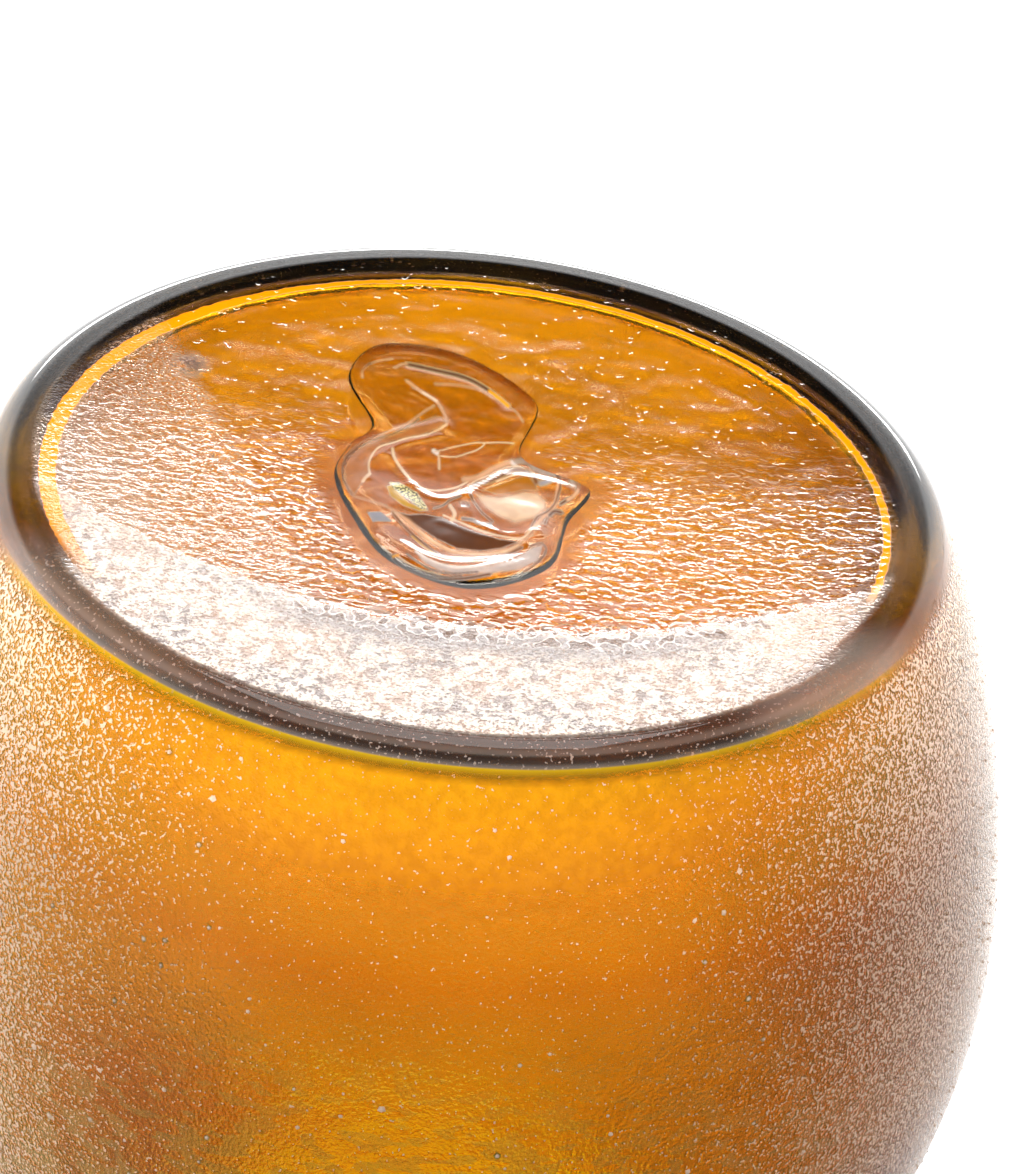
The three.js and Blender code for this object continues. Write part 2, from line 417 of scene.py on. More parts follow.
def amber_material():
    """Amber glass. Its tone changes with height and across the vase, as the photograph's lit wall does: the
    lighter yellow near the heel and towards +X is painted glow, and the deeper orange high on the belly is
    painted shade.
    """
    mat = bpy.data.materials.new("amber_glass")
    t = Tree(mat)
    where, x, _, z, _ = t.place()
    big = t.noise(where, 0.045, 1.0, 0.6)
    deep = t.between(big, 0.35, 0.7)
    middle = t.mixed(deep, (0.60, 0.405, 0.001, 1), (0.54, 0.35, 0.001, 1))
    # Painted glow: lighter yellow up to 8 mm above the foot, fading out by 30 mm.
    lower = t.mixed(t.between(z, 8, 30), (0.95, 0.74, 0.003, 1), middle)
    belly = t.mixed(t.between(z, 28, 60), lower, (0.80, 0.49, 0.003, 1))
    # Painted shade: deeper orange high on the belly.
    belly = t.mixed(t.between(z, 56, 68), belly, (0.60, 0.23, 0.002, 1))
    across = t.math("ABSOLUTE", t.math("SUBTRACT", x, 13.0))
    patch = t.times(t.between(z, 34, 44), t.between(across, 42, 12))
    belly = t.mixed(patch, belly, (0.54, 0.26, 0.002, 1))
    # Painted glow: lighter yellow towards +X.
    belly = t.mixed(t.between(x, 22, 58), belly, (0.98, 0.74, 0.008, 1))
    side = t.mixed(t.between(z, 75, 100), belly, (0.80, 0.44, 0.003, 1))
    floor = t.mixed(deep, (0.60, 0.33, 0.003, 1), (0.52, 0.27, 0.002, 1))
    colour = t.mixed(t.between(z, 7.4, 10.0), floor, side)
    normal = t.bump(t.noise(where, 0.2, 1.0, 0.5), 0.0002)
    shader = principled(
        t, Base_Color=colour, Roughness=0.12, Transmission_Weight=1.0, IOR=1.5, Normal=normal
    )
    t.surface(shader)
    return mat


def clear_material():
    """Clear glass, tinted smoke-grey by its volume, of base, heel and body, with painted light and shade on
    its surface.

    make_casing paints where it lies: under the base, on its frost, heel ring, body, pits, grey band, glossy
    melted rim, lace and left zone of grit, and how thick the coat of frit is. base_masks says what each of
    the base's values means. Painted light and shade are the glowing rim of the amber, the heel ring's shade
    and reflected streaks, the shaded band near the camera, the glowing apron above the heel, the lace's
    highlights and shaded pits, the highlight along the melted rim, the glints and salmon reflection over the
    left zone, and the sheen of the flanks where the coat is thick.
    """
    mat = bpy.data.materials.new("clear_glass")
    t = Tree(mat)
    where, x, y, z, _ = t.place()
    under, frost, heel = t.painted("under"), t.painted("frost"), t.painted("heel")
    body, pits, grey, coat = t.painted("body"), t.painted("pits"), t.painted("grey"), t.painted("coat")
    grain = t.noise(where, 2.5, 1.0, 0.55)
    medium = t.noise(where, 0.75, 1.0, 0.5)

    # The rim of the amber coat, as the base's glass shows it, painted as a glowing orange line; outside it,
    # the heel ring of painted shade with lighter streaks of painted reflection.
    flat = t.vector("MULTIPLY", t.vector("SUBTRACT", where, AMBER_RIM_CENTRE), (1, 1, 0))
    past = t.math("SUBTRACT", t.vector("LENGTH", flat), AMBER_RIM_RADIUS)
    past = t.math("MULTIPLY_ADD", medium, 0.5, past)
    off = t.math("SUBTRACT", t.math("ABSOLUTE", past), t.between(x, 20, 42, 0.0, 0.5))
    line_ends = t.between(y, t.between(x, 20, 42, -24, -36), t.between(x, 20, 42, -16, -20))
    line = t.times(t.between(off, 0.56, 0.36), t.times(under, line_ends))
    streak_at = t.add("ShaderNodeCombineXYZ", {0: t.times(past, 0.9), 1: t.times(x, 0.06), 2: y})
    streak = t.noise(t.vector("MULTIPLY", streak_at, (1, 1, 0.06)), 1.0, 1.0, 0.6)
    dark = t.mixed(t.between(streak, 0.42, 0.66), (0.035, 0.018, 0.026, 1), (0.17, 0.13, 0.17, 1))
    heel = t.times(heel, t.between(past, 0.3, 0.7))

    # Specks of frit: sparse in the thin part of the coat, close together in the thick part. The thick coat on
    # the flanks is partly painted sheen.
    limit = t.math("MULTIPLY_ADD", coat, -0.21, 0.70)
    specks = t.times(body, t.between(t.math("SUBTRACT", grain, limit), 0.0, 0.05))

    # Relief and roughness.
    sand = t.painted("sand")
    grainy = t.most(t.times(body, t.math("MULTIPLY_ADD", coat, 0.7, 0.35)), frost)
    grainy = t.most(grainy, t.times(sand, 0.2))
    height = t.times(grain, grainy)
    height = t.math("MULTIPLY_ADD", medium, t.times(frost, 0.8), height)
    small = t.noise(t.vector("MULTIPLY", where, (0.75, 1.0, 1)), 0.95, 1.0)
    bumps = t.times(t.between(medium, 0.66, 0.76), t.between(pits, 0.0, 0.25))
    pitted = t.between(pits, 0.1, 1.0, 0.0, 0.24)
    height = t.math("MULTIPLY_ADD", t.between(small, 0.36, 0.62), pitted, height)
    swell = t.math("MULTIPLY_ADD", t.between(pits, 0.3, 1.0), 0.15, t.times(body, 0.15))
    height = t.math("MULTIPLY_ADD", bumps, -0.13, height)
    height = t.math("MULTIPLY_ADD", medium, swell, height)
    normal = t.bump(height, 0.0003)
    rough = t.math("MULTIPLY_ADD", frost, 0.22, t.math("MULTIPLY_ADD", body, 0.17, 0.04))

    # Tints of the body's skin; the pinkish tint where the coat is thick is partly painted sheen. The heel's
    # dark ring is painted shade, and the band near the camera is painted shade with pale painted glints.
    long = t.noise(t.vector("MULTIPLY", where, (1, 1, 2.2)), 0.3, 1.0, 0.6)
    marks = t.times(t.between(long, 0.48, 0.58), t.between(z, 24, 58))
    marks = t.times(marks, t.math("MULTIPLY_ADD", coat, -0.7, 1.0))
    skin = t.mixed(marks, (1.0, 0.90, 0.12, 1), (0.44, 0.24, 0.012, 1))
    crushed = t.mixed(t.between(x, -10, 10), (0.97, 0.64, 0.36, 1), (1.0, 0.84, 0.40, 1))
    skin = t.mixed(coat, skin, crushed)
    low = t.mixed(body, (1.0, 0.92, 0.8, 1), (0.80, 0.60, 0.70, 1))
    tint = t.mixed(t.times(body, t.between(z, 2.0, 9.0)), low, skin)
    band = t.mixed(t.between(z, 0.15, 0.5), (0.07, 0.045, 0.03, 1), (0.15, 0.125, 0.11, 1))
    band = t.mixed(t.between(z, 0.6, 0.85), band, (0.035, 0.02, 0.014, 1))
    band = t.mixed(t.between(grain, 0.62, 0.7), band, (0.45, 0.38, 0.34, 1))
    front = t.times(heel, t.between(y, -22, -32))
    dark = t.mixed(front, dark, band)
    tint_shade_and_glow = t.mixed(heel, tint, dark)
    from_blot = t.vector("MULTIPLY", t.vector("SUBTRACT", where, BLOT_PLACE), (1, 0.8, 0))
    blot = t.between(t.vector("LENGTH", from_blot), 3.2, 0.8)
    blot = t.times(t.times(blot, under), t.between(medium, 0.3, 0.55))
    tint_shade_and_glow = t.mixed(blot, tint_shade_and_glow, (0.22, 0.17, 0.17, 1))
    patch = t.between(t.noise(where, 0.16, 1.0, 0.6), 0.36, 0.62)
    fleck = t.between(t.math("MULTIPLY_ADD", medium, 0.6, t.times(grain, 0.4)), 0.40, 0.58)
    dull = t.mixed(patch, (0.34, 0.29, 0.27, 1), (0.50, 0.38, 0.31, 1))
    white = t.mixed(fleck, dull, (0.84, 0.75, 0.66, 1))
    white = t.mixed(t.times(grey, 0.8), white, (0.33, 0.30, 0.30, 1))
    # Painted highlight along the glossy melted rim of the frost.
    white = t.mixed(t.painted("wet"), white, (1.0, 0.98, 0.95, 1))

    # Lace of melted froth along the edge of the frost: painted highlights on the rims and painted shade in
    # the pits.
    froth = t.noise(t.vector("MULTIPLY", where, (1, 0.8, 1)), 0.85, 0.0)
    lace = t.painted("lace")
    from_rim = t.math("ABSOLUTE", t.math("SUBTRACT", froth, 0.47))
    rims = t.times(lace, t.between(from_rim, 0.05, 0.02))
    hollows = t.times(lace, t.between(froth, 0.42, 0.36))
    # Over the left zone of grit: a salmon painted reflection and white painted glints.
    white = t.mixed(t.times(sand, t.between(y, -26, -12, 0.0, 0.7)), white, (0.60, 0.35, 0.21, 1))
    sandy = t.times(sand, t.between(grain, 0.50, 0.60))

    # Bright amber just above the heel, on the side near the camera: a painted glow.
    apron = t.times(t.between(z, 1.5, 1.9), t.between(z, 30.0, 2.0))
    apron = t.times(t.times(apron, body), t.between(y, -16, -46))
    apron = t.times(apron, t.math("MULTIPLY_ADD", coat, -0.5, 1.0))
    toned = t.mixed(t.between(medium, 0.35, 0.65), (0.75, 0.33, 0.002, 1), (0.86, 0.39, 0.003, 1))
    tint_shade_and_glow = t.mixed(t.between(apron, 0.0, 0.2), tint_shade_and_glow, (0.95, 0.62, 0.01, 1))
    tint_shade_and_glow = t.mixed(t.between(apron, 0.2, 0.7), tint_shade_and_glow, toned)

    # Everything painted over the clear glass, and how much of it each part covers.
    colour = t.mixed(t.most(frost, sandy), tint_shade_and_glow, white)
    colour = t.mixed(rims, colour, (1.0, 0.97, 0.93, 1))
    colour = t.mixed(hollows, colour, (0.20, 0.12, 0.08, 1))
    colour = t.mixed(specks, colour, (0.87, 0.60, 0.42, 1))
    # Painted glow of the amber's rim.
    colour = t.mixed(line, colour, (1.0, 0.40, 0.0, 1))
    speckle = t.between(grain, 0.36, 0.56)
    cover = t.times(frost, t.math("MULTIPLY_ADD", speckle, 0.34, 0.62))
    painted = [
        (sandy, 0.4),
        (specks, 0.85),
        (line, 0.9),
        (t.most(rims, hollows), 0.75),
        (front, 0.6),
        (blot, 0.45),
        (t.times(marks, body), 0.3),
        (t.times(apron, apron), 0.75),
    ]
    for share, amount in painted:
        cover = t.most(cover, t.times(share, amount))
    shader = principled(
        t,
        Base_Color=colour,
        Roughness=rough,
        Transmission_Weight=t.math("SUBTRACT", 1.0, cover),
        IOR=1.5,
        Normal=normal,
    )
    volume = t.add("ShaderNodeVolumeAbsorption", {"Color": (0.50, 0.40, 0.42, 1), "Density": 25.0})
    t.surface(shader, volume.outputs[0])
    return mat


def scar_material():
    """Clear torn glass; where folds catch or lose the light, it carries a painted tone with its own cover."""
    mat = bpy.data.materials.new("scar_glass")
    t = Tree(mat)
    where = t.place()[0]
    grain = t.noise(where, 5.0, 0.0)
    tone = t.add("ShaderNodeAttribute", attribute_name="tone").outputs["Color"]
    cover, fleck = t.painted("cover"), t.painted("fleck")
    shade = t.between(t.noise(where, 0.6, 1.0, 0.6), 0.3, 0.7, 0.86, 1.0)
    tone = t.vector("SCALE", tone)
    t.feed(tone.node.inputs["Scale"], shade)
    gilt = t.mixed(t.between(grain, 0.42, 0.56), (0.04, 0.035, 0.01, 1), (0.80, 0.72, 0.30, 1))
    colour = t.mixed(fleck, tone, gilt)
    normal = t.bump(t.noise(where, 0.6, 0.0), 0.00002)
    shader = principled(
        t,
        Base_Color=colour,
        Roughness=t.math("MULTIPLY_ADD", cover, 0.2, 0.03),
        Transmission_Weight=t.math("SUBTRACT", 1.0, cover),
        IOR=1.35,
        Normal=normal,
    )
    t.surface(shader)
    return mat


def floor_material():
    """Pale floor: open from below and, near the vase, to all rays but the camera's and diffuse ones."""
    mat = bpy.data.materials.new("floor_pale")
    t = Tree(mat)
    where, _, _, _, r = t.place()
    path = t.add("ShaderNodeLightPath")
    seen = t.most(path.outputs["Is Camera Ray"], path.outputs["Is Diffuse Ray"])
    solid = t.most(seen, t.math("GREATER_THAN", r, OPEN_FLOOR_RADIUS))
    above = t.math("SUBTRACT", 1.0, t.add("ShaderNodeNewGeometry").outputs["Backfacing"])
    share = t.times(solid, above)
    pale = t.mixed(t.noise(where, 0.02, 3.0), (0.84, 0.84, 0.84, 1), (0.88, 0.88, 0.88, 1))
    diffuse = t.add("ShaderNodeBsdfDiffuse", {"Color": pale}).outputs[0]
    open_part = t.add("ShaderNodeBsdfTransparent").outputs[0]
    t.surface(t.add("ShaderNodeMixShader", {0: share, 1: open_part, 2: diffuse}).outputs[0])
    return mat


def studio():
    """Floor, and surroundings that are white to the camera and arranged in light and dark for other rays."""
    far = FLOOR_REACH
    floor = piece("floor", [(-far, -far, 0), (far, -far, 0), (far, far, 0), (-far, far, 0)], [(0, 1, 2, 3)])
    floor.data.materials.append(floor_material())
    world = bpy.data.worlds.new("studio")
    bpy.context.scene.world = world
    t = Tree(world)
    direction = t.add("ShaderNodeTexCoord").outputs["Generated"]
    parts = t.add("ShaderNodeSeparateXYZ", {0: direction})
    side, depth, height = parts.outputs[0], parts.outputs[1], parts.outputs[2]
    back = t.between(depth, -0.2, 0.45)
    rising = t.between(height, -0.555, -0.43, 0.03, 2.8)
    falling = t.between(height, 0.65, 0.95, 1.0, 0.45)
    middle = t.most(t.between(depth, 0.4, 0.8, 0.35, 1.0), t.between(side, 0.1, 0.4))
    behind = t.times(t.times(rising, falling), middle)
    ahead = t.between(height, 0.05, -0.3, 0.05, 0.2)
    beside = t.times(t.between(side, 0.2, 0.7, 0.0, 0.5), t.between(height, -0.1, 0.2))
    ahead = t.most(ahead, beside)
    path = t.add("ShaderNodeLightPath")
    through = t.times(path.outputs["Is Transmission Ray"], t.between(height, -0.3, 0.1, 0.0, 0.8))
    ahead = t.most(ahead, through)
    light = t.math("MULTIPLY_ADD", back, behind, t.times(t.math("SUBTRACT", 1.0, back), ahead))
    seen = path.outputs["Is Camera Ray"]
    strength = t.most(light, seen)
    background = t.add("ShaderNodeBackground", {"Color": (1, 1, 1, 1), "Strength": strength})
    t.add("ShaderNodeOutputWorld", {0: background.outputs[0]})


def lamp(name, place, aim, size, power, shiny=True):
    data = bpy.data.lights.new(name, "AREA")
    data.shape = "RECTANGLE"
    data.size, data.size_y = size
    data.energy = power
    made = bpy.data.objects.new(name, data)
    made.location = place
    made.rotation_mode = "QUATERNION"
    made.rotation_quaternion = (Vector(aim) - Vector(place)).to_track_quat("-Z", "Y")
    made.visible_glossy = shiny
    made.visible_transmission = shiny
    bpy.context.scene.collection.objects.link(made)


def frost_line(x):
    """Where the frosted part of the base begins, measured along Y from the axis, for a place across X."""
    return -32.0 + 0.0075 * x * x + 0.02 * x


def base_masks(x, y):
    """For places on the base: frost, grey band in it, distance from the scar, glossy melted rim, lace, and
    the left zone of grit, where clear_material paints glints and a reflection.
    """
    wobble = 1.3 * wavy(x, y, 0.16, 5.0) + 0.5 * wavy(x, y, 0.6, 8.0)
    near = ramp(frost_line(x) - y + wobble, -0.6, 1.2) * (1 - 0.7 * ramp(-x, 26, 44))
    left_line = 17.5 + 0.463 * (y + 22.8)
    left = ramp(x - left_line + 0.8 * wobble, -1.5, 2.2)
    # The left zone of grit, which also carries painted glints and a painted reflection.
    sand = left * ramp(49.0 - np.hypot(x, y), 0.0, 2.0)
    left *= 0.05 + 0.25 * ramp(x - left_line, 6, 22) * ramp(-y, -16, 14)
    frost = np.maximum(near, left)
    depth = frost_line(x) - y + wobble
    grey = ramp(depth, 0.0, 1.5) * ramp(depth, 6.5, 3.5) * ramp(np.abs(x + 4), 30, 18)
    plan = spline(SCAR_PLAN, 8, True)
    away = nearest(np.column_stack([x, y]), plan)
    away[within(np.column_stack([x, y]), SCAR_PLAN)] = 0.0
    # Where the melted rim lies, on which clear_material paints a highlight.
    wet = ramp(np.abs(depth + 0.1), 0.7, 0.15) * ramp(np.abs(x + 10), 36, 24)
    lace = ramp(depth, -2.2, -0.6) * ramp(depth, 4.2, 1.6) * ramp(np.abs(x + 8), 34, 20)
    return frost, grey, away, wet, lace, sand


def shape_base(points):
    """Gives the hollow its waves, bumps and pits."""
    x, y, z = points.T
    r = np.hypot(x, y)
    on_base = np.where((z < HOLLOW_DEPTH + 0.01) & (r < HOLLOW_RADIUS - 0.4))[0]
    bx, by = x[on_base], y[on_base]
    frost, _, away, _, _, _ = base_masks(bx, by)
    calm = ramp(away, 0.5, 4.5)
    edge = ramp(HOLLOW_RADIUS - np.hypot(bx, by), 2.0, 9.0)
    rough = 0.25 + 0.75 * ramp(-by, -12, 4)
    waves = (0.05 * wavy(bx, by, 0.16, 1.0) + 0.02 * wavy(bx, by * 1.3, 0.45, 2.0)) * rough
    bumps = np.clip(wavy(bx, by, 0.75, 3.0) - 0.3, 0, 1) * 0.10
    pits = np.clip(wavy(bx, by, 0.62, 4.0) - 0.25, 0, 1) * 0.13 * ramp(-by, -16, 2)
    lift = (waves + pits - bumps) * calm * edge * (1 - 0.7 * frost)
    points = points.copy()
    points[on_base, 2] += lift
    points[:, 2] = np.maximum(points[:, 2], 0.0)
    return points


def make_casing():
    hollow = [(r, hollow_at(r)) for r in np.linspace(0, HOLLOW_RADIUS, 120)]
    foot = [(r, 0.0) for r in np.linspace(HOLLOW_RADIUS, FOOT_RADIUS, 5)][1:]
    heel = [tuple(p) for p in bezier(HEEL, 8)][1:]
    start = HEIGHT - RIM_ROUND
    skin = [inside(z, SKIN_DEPTH * smooth(z, 1.2, 4.0)) for z in np.linspace(HEEL_RISE, start, 400)]
    wall = spread(skin, 2.4)[1:]
    cavity = cavity_side(start, fused_depth, BASE_THICKNESS + FIT + FUSED, CASING_CORNER, 3.6, 3.0)
    rim = rim_points(wall[-1], cavity[0], RIM_ROUND)
    turns = CASING_TURNS
    outer_rings = len(hollow) - 1 + len(foot) + len(heel) + len(wall)
    made = turned("clear_casing_glass", hollow + foot + heel + wall + rim + cavity, turns, shape_base)
    points = np.empty(len(made.data.vertices) * 3)
    made.data.vertices.foreach_get("co", points)
    x, y, z = points.reshape(-1, 3).T / MM
    r = np.hypot(x, y)
    order = np.arange(len(x))
    outer = ((order < outer_rings * turns) | (order == len(x) - 2)).astype(float)
    under = outer * (z < HOLLOW_DEPTH + 0.4) * (r < FOOT_RADIUS + HEEL_SPREAD + 0.2)
    frost, grey, away, wet, lace, sand = masks = np.zeros((6, len(x)))
    chosen = np.where(under > 0)[0]
    masks[:, chosen] = base_masks(x[chosen], y[chosen])
    # The heel ring is painted shade; where warm, on two sides towards the camera, it is painted lighter.
    heel_ring = outer * ramp(z, 1.75, 1.15) * (r < 56)
    angle = np.arctan2(y, x)
    warm_left = ramp(np.cos(angle - math.radians(-28)), 0.72, 0.95)
    warm_right = ramp(np.cos(angle - math.radians(-152)), 0.86, 0.98)
    warm = np.maximum(0.15 * warm_left, 0.55 * warm_right)
    heel_ring *= 1 - 0.75 * warm
    inner_end, outer_end = ramp(r, 50.4, 49.2), ramp(r, 52.1, 51.6)
    frost *= inner_end + (outer_end - inner_end) * ramp(-y, 18, 32) * ramp(np.abs(x), 44, 36)
    body = outer * np.where(z < 4, r > 53, True) * ramp(z, 1.2, 1.9) * ramp(z, HEIGHT - 4, HEIGHT - 10)
    pits = under * ramp(away, 0.5, 4.0) * (1 - frost) * ramp(r, 49.5, 47.0) * (0.2 + 0.8 * ramp(-y, -16, 16))
    # The coat is painted thick on the flanks at +X and -X and thin towards -Y and +Y; the pale specks and
    # pinkish tint of the thick flanks are partly painted sheen.
    turn = np.degrees(angle)
    left = ramp(turn, -80, -38) * ramp(turn, 70, 20)
    turned_back = turn % 360 - 180
    right = ramp(turned_back, -70, -10) * ramp(turned_back, 78, 30)
    coat = body * np.maximum(left, right)
    paint(made, under=under, frost=frost, heel=heel_ring, body=body, pits=pits, grey=grey)
    paint(made, wet=wet, lace=lace, sand=sand, coat=coat)
    made.data.materials.append(clear_material())
    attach(made, "root")
    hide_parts("clear_casing")


def make_amber():
    start = HEIGHT - AMBER_SETBACK - AMBER_RIM_ROUND
    outer = cavity_side(start, amber_outer_shown, BASE_THICKNESS + FIT, CASING_CORNER, 2.4, 2.4)
    inner = cavity_side(start, amber_inner_shown, BASE_THICKNESS + FIT + AMBER_FLOOR, AMBER_CORNER, 2.4, 2.4)
    rim = rim_points(outer[0], inner[0], AMBER_RIM_ROUND)
    made = turned("amber_bubble_glass", outer[::-1] + rim + inner, AMBER_TURNS)
    made.data.materials.append(amber_material())
    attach(made, "root")
    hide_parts("amber_bubble")


SCAR_CENTRE = (1.0, -1.0)
SCAR_RINGS = 110
SCAR_PLAN_STEP = 0.25
ROOF_RING_STEP = 10
RIDGE_UNIT = 0.12
RIDGE_NARROWING = 0.8
# Thickness of the plate at its edge; below 0, its face dips into the casing there.
SCAR_EDGE = -0.03
SCAR_TABLE_CLEARANCE = 0.4
# Height of the roof above the casing's face, at the edge and how much more away from it.
ROOF_LIFT = 0.04
ROOF_RISE = 0.21
# Distance between the points that a painted line is measured from.
LINE_STEP = 0.15
SCAR_PLAN = [
    (15.8, -3), (14.6, 4), (12.6, 9), (16.4, 19), (13, 27.4), (3, 27.2), (-6.6, 18),
    (-5.4, 5.6), (-13.4, 0), (-11.2, -8), (-9.2, -18), (-1, -23.8), (8, -20), (13.2, -11),
]
# Height in units of RIDGE_UNIT, width and path of each ridge; grooves have a negative height.
SCAR_RIDGES = [
    (0.70, 1.0, [(4.7, 10.9), (11.2, 6), (15.2, -2.8), (13.5, -7.8)]),
    (0.45, 0.7, [(4.5, 8.2), (9.1, 4.8), (12, 0.5), (12, -3.2)]),
    (0.60, 0.8, [(9.9, 2.4), (6.4, -4.2), (2.4, -5.6), (-3.2, 1)]),
    (0.45, 0.9, [(8.1, 17.4), (5.3, 14.6), (3.5, 9.6)]),
    (-0.55, 0.6, [(9.4, 23.05), (5.3, 22.35), (1.6, 21.25), (-1.3, 18.75), (-3.3, 16.25)]),
    (-2.0, 2.5, [(8.2, -12.2), (2.6, -16.8), (-5.8, -15.4)]),
    (0.35, 0.6, [(7.6, -19.8), (0.8, -22.9), (-8.5, -15.1)]),
    (0.30, 0.5, [(8.9, -17.2), (1.2, -20.9), (-7.6, -14.9)]),
    (0.30, 0.5, [(9.6, -14.6), (1.6, -18.9), (-6.4, -15.6)]),
    (0.75, 1.1, [(0.1, -4.4), (-4.8, 0.9), (-11.9, -1.1), (-8, -10.7)]),
    (0.50, 0.8, [(0.1, -4.4), (-0.5, -9.5), (-4, -12), (-8, -10.7)]),
    (0.35, 0.6, [(-1.6, -1.6), (-5.4, 3.2), (-10.8, 2.2)]),
    (0.45, 0.7, [(0.7, -7.5), (0.2, -10), (-2.5, -11.4)]),
    (0.50, 0.8, [(3, -10.9), (-2, -13), (-6.4, -12.6)]),
    (0.35, 0.9, [(6.8, -3.4), (9.1, -5.2), (4.8, -9.8)]),
    (-0.35, 1.4, [(-5.2, -3.4), (-8.2, -4.6)]),
    (0.30, 0.8, [(14.7, 19.1), (14.6, 22.4), (12.8, 24.1), (9.6, 24.4)]),
]
# Pale, white and salmon are painted highlights, glow a painted glow, grey a painted reflection, and dark,
# darkgrey and brown painted shade.
SCAR_TONES = {
    "clear": (0.97, 0.90, 0.80),
    "honey": (0.96, 0.78, 0.38),
    "pale": (1.0, 0.80, 0.55),
    "white": (1.0, 0.97, 0.92),
    "salmon": (0.90, 0.56, 0.32),
    "copper": (0.52, 0.22, 0.07),
    "brown": (0.19, 0.07, 0.022),
    "dark": (0.11, 0.034, 0.008),
    "darkgrey": (0.16, 0.13, 0.12),
    "grey": (0.33, 0.35, 0.40),
    "greyish": (0.66, 0.60, 0.56),
    "gold": (0.60, 0.34, 0.015),
    "amber": (0.50, 0.20, 0.01),
    "glow": (1.0, 0.42, 0.0),
}
# Folds of the torn glass: tone, cover, softness of the edge and corners. Folds, creases, ridges, plan and
# fleck were traced on the photograph and turned into millimetres through the fitted camera.
SCAR_FOLDS = [
    ("copper", 0.55, 0.25, [(5.3, 12.2), (6.7, 10.8), (8.7, 8.1), (10.8, 6), (13.1, 3.8), (14.5,
    1.3), (14.8, -1.7), (14.2, -5), (13.1, -7.2), (12.3, -3.8), (11.9, -1.9), (12.2, 0.5), (11.8,
    2.7), (11.1, 4.7), (9.7, 5.8), (8.1, 7), (6.5, 8), (4.7, 9.7), (4, 11.1), (4.5, 12.1)]),
    ("dark", 0.93, 0.12, [(8.2, -9.9), (6.7, -10.2), (5.1, -9.8), (3, -10), (0.7, -11.5), (-1.5,
    -12.6), (-3.7, -13.3), (-5.8, -13.3), (-3.9, -14.9), (-1.7, -15.8), (0.8, -15.9), (3.2, -14.5),
    (5.3, -12.5), (7, -11)]),
    ("pale", 0.5, 0.4, [(-0.5, -4), (-3.2, -4.1), (-5.9, -2.3), (-7.6, -2.4), (-8.5, -3.7), (-8.6,
    -5.5), (-7.4, -7.9), (-5.3, -9.4), (-3.4, -8.4), (-1.7, -6.5)]),
    ("amber", 0.6, 0.2, [(-1.2, -2.9), (-3.1, -1.2), (-4.9, 0.5), (-6.3, 1.4), (-7.3, -0.5), (-7.6,
    -1.6), (-5.9, -1.8), (-3.2, -3.4)]),
    ("gold", 0.8, 0.15, [(9.7, -4.6), (9, -4), (6.9, -7.6), (4.5, -8.9), (5.5, -9.3), (7.4, -8.5),
    (9, -6.8)]),
    ("grey", 0.85, 0.1, [(11.3, -10.6), (9.9, -10.3), (8.4, -11.8), (10.5, -12.4)]),
    ("salmon", 0.6, 0.3, [(13.1, -7.5), (9.2, -9), (6.8, -11.8), (4.4, -15), (1.4, -17.1), (-2.1,
    -17), (-5.2, -15.4), (-7.2, -11.6), (-8.8, -7.8), (-7.2, -11.9), (-5.1, -14.4), (-2, -16), (1.5,
    -16.3), (4.1, -14.3), (6.6, -11.1), (8.9, -9.3)]),
    ("greyish", 0.7, 0.25, [(5.2, -18), (2.7, -19.7), (0.2, -20), (-2.7, -19.1), (-5.3, -17.2),
    (-7.3, -14.3), (-8.5, -13.4), (-8.1, -16.5), (-6, -18.9), (-3, -20.4), (0.1, -21.2), (2.6,
    -20.9), (4.4, -19.5)]),
]
